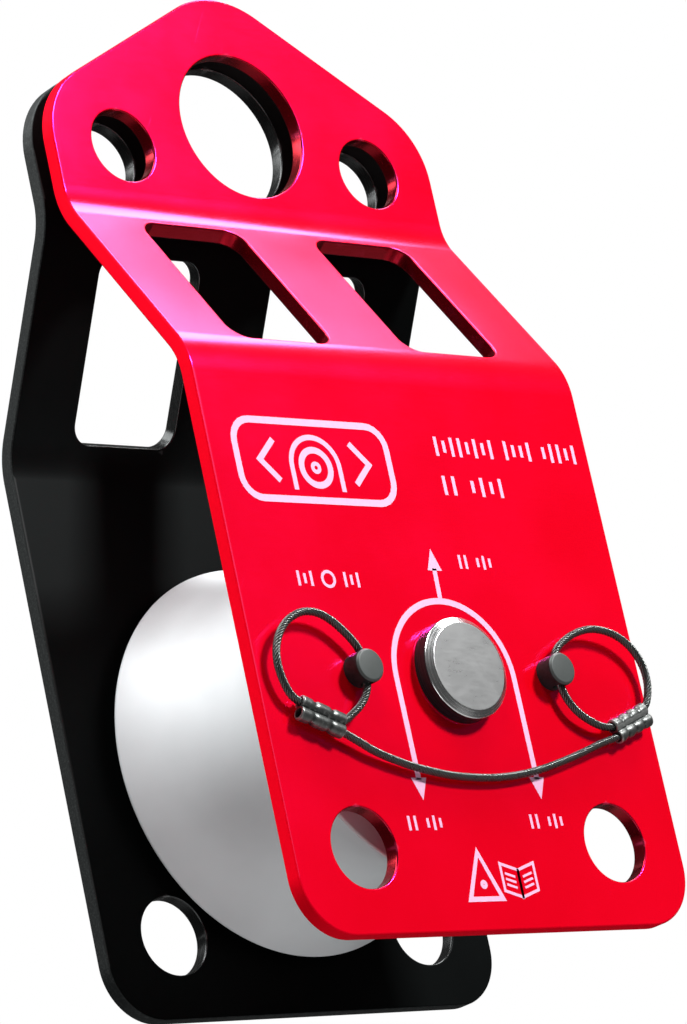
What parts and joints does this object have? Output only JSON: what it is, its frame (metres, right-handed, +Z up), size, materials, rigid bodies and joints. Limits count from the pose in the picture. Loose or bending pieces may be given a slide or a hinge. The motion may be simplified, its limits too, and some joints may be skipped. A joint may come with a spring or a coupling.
{
  "type": "rope pulley",
  "caption": "Rope pulley with two swinging bent side plates, a wide concave sheave on sealed ball bearings, lock pins on a wire lanyard and eyes in its head.",
  "frame": {"origin": "centre of the carabiner eye, midway between the two heads", "axes": "+Y along the eye and the axle towards the rear plate, +Z up from the axle towards the eye, +X to the right seen from the front plate"},
  "size_m": [0.12, 0.0836, 0.246],
  "materials": {
    "red_anodised": "satin red anodised aluminium sheet",
    "black_anodised": "satin black anodised aluminium sheet",
    "sheave_aluminium": "fine turned and bead-blasted aluminium",
    "axle_steel": "brushed stainless steel",
    "bearing_steel": "ground bearing steel",
    "ball_steel": "polished bearing balls",
    "spring_steel": "dark phosphated spring steel",
    "bronze": "plain bearing bronze",
    "cage_brass": "machined brass cage",
    "black_rubber": "matt black rubber",
    "pin_steel": "dark grey turned steel",
    "wire_rope": "twisted stainless wire rope",
    "ferrule_metal": "crimped grey alloy sleeve"
  },
  "bodies": {
    "rear_plate": {"rear_plate": "black_anodised", "rear_plate_bush": "bronze"},
    "axle": {"axle": "axle_steel", "axle_rear_collar": "axle_steel", "bearing_spacer_tube": "bearing_steel", "front_thrust_washer": "bronze", "rear_thrust_washer": "bronze", "front_spacer_sleeve": "bearing_steel", "rear_spacer_sleeve": "bearing_steel", "front_bearing_inner_ring": "bearing_steel", "rear_bearing_inner_ring": "bearing_steel"},
    "front_plate": {"front_plate": "red_anodised", "front_plate_bush": "bronze", "lanyard_wire": "wire_rope"},
    "sheave": {"sheave": "sheave_aluminium", "front_bearing_outer_ring": "bearing_steel", "rear_bearing_outer_ring": "bearing_steel", "front_bearing_seals": "black_rubber", "rear_bearing_seals": "black_rubber", "front_circlip": "spring_steel", "rear_circlip": "spring_steel"},
    "front_ball_set": {"front_bearing_balls": "ball_steel", "front_bearing_cage": "cage_brass"},
    "rear_ball_set": {"rear_bearing_balls": "ball_steel", "rear_bearing_cage": "cage_brass"},
    "left_pin": {"left_lock_pin": "pin_steel", "left_grip_ring": "black_rubber", "left_wire_loop": "wire_rope", "left_ferrule": "ferrule_metal"},
    "right_pin": {"right_lock_pin": "pin_steel", "right_grip_ring": "black_rubber", "right_wire_loop": "wire_rope", "right_ferrule": "ferrule_metal"}
  },
  "joints": [
    {"name": "axle_turn", "type": "hinge", "parent": "rear_plate", "child": "axle", "pos_m": [0, 0, -0.151], "axis": [0, 1, 0], "continuous": true},
    {"name": "front_plate_swing", "type": "hinge", "parent": "axle", "child": "front_plate", "pos_m": [0, 0, -0.151], "axis": [0, 1, 0], "continuous": true},
    {"name": "sheave_spin", "type": "hinge", "parent": "axle", "child": "sheave", "pos_m": [0, 0, -0.151], "axis": [0, 1, 0], "continuous": true},
    {"name": "front_cage_roll", "type": "hinge", "parent": "axle", "child": "front_ball_set", "pos_m": [0, 0, -0.151], "axis": [0, 1, 0], "continuous": true},
    {"name": "rear_cage_roll", "type": "hinge", "parent": "axle", "child": "rear_ball_set", "pos_m": [0, 0, -0.151], "axis": [0, 1, 0], "continuous": true},
    {"name": "left_pin_pull", "type": "slide", "parent": "front_plate", "child": "left_pin", "axis": [0, -1, 0], "range_m": [0, 0.016]},
    {"name": "right_pin_pull", "type": "slide", "parent": "front_plate", "child": "right_pin", "axis": [0, -1, 0], "range_m": [0, 0.016]}
  ],
  "couplings": [
    {"joint": "front_cage_roll", "follows": "sheave_spin", "ratio": 0.6184},
    {"joint": "rear_cage_roll", "follows": "sheave_spin", "ratio": 0.6184}
  ]
}
